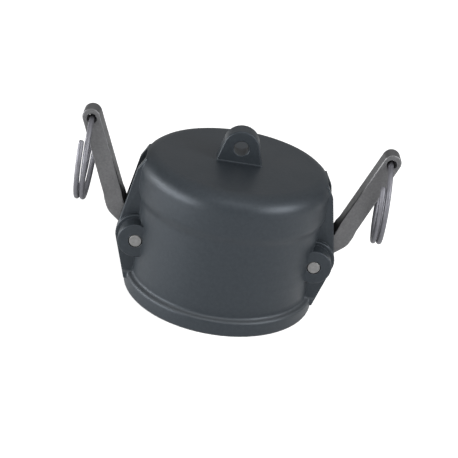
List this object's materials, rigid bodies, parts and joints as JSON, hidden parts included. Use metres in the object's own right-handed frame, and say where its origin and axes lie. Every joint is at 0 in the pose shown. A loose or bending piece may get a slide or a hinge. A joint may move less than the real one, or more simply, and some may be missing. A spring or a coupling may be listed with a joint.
{
  "type": "cam and groove blanking cap",
  "caption": "Closed plastic cap for a cam and groove pipe coupling, with a tether lug, an inner gasket and cranked metal cam arms that carry pull rings.",
  "frame": {"origin": "centre of the mouth's rim face, on the cap's axis", "axes": "+Z along the cap's axis from the mouth to the closed end, +X from the axis to the right cam arm, -Y towards the picture's front"},
  "size_m": [0.1375, 0.085, 0.0776],
  "materials": {
    "black_polypropylene": "moulded, satin, blue-black",
    "gasket_rubber": "matt black",
    "cast_stainless": "satin, fine cast grain",
    "pin_stainless": "turned, satin",
    "wire_stainless": "bright drawn wire"
  },
  "bodies": {
    "cap": {"cap_body": "black_polypropylene", "gasket": "gasket_rubber", "pivot_pin_left": "pin_stainless", "pivot_pin_right": "pin_stainless"},
    "arm_left": {"cam_arm_left": "cast_stainless"},
    "arm_right": {"cam_arm_right": "cast_stainless"},
    "ring_left": {"pull_ring_left": "wire_stainless"},
    "ring_right": {"pull_ring_right": "wire_stainless"}
  },
  "joints": [
    {"name": "arm_left_pivot", "type": "hinge", "parent": "cap", "child": "arm_left", "pos_m": [-0.03873, 0, 0.0259], "axis": [0, -1, 0], "range_deg": [-21, 80]},
    {"name": "arm_right_pivot", "type": "hinge", "parent": "cap", "child": "arm_right", "pos_m": [0.03873, 0, 0.0259], "axis": [0, 1, 0], "range_deg": [-21, 80]},
    {"name": "ring_left_swing", "type": "hinge", "parent": "arm_left", "child": "ring_left", "pos_m": [-0.06419, 0, 0.0729], "axis": [0, 1, 0], "range_deg": [-9, 240]},
    {"name": "ring_right_swing", "type": "hinge", "parent": "arm_right", "child": "ring_right", "pos_m": [0.06419, 0, 0.0729], "axis": [0, -1, 0], "range_deg": [-9, 240]}
  ]
}
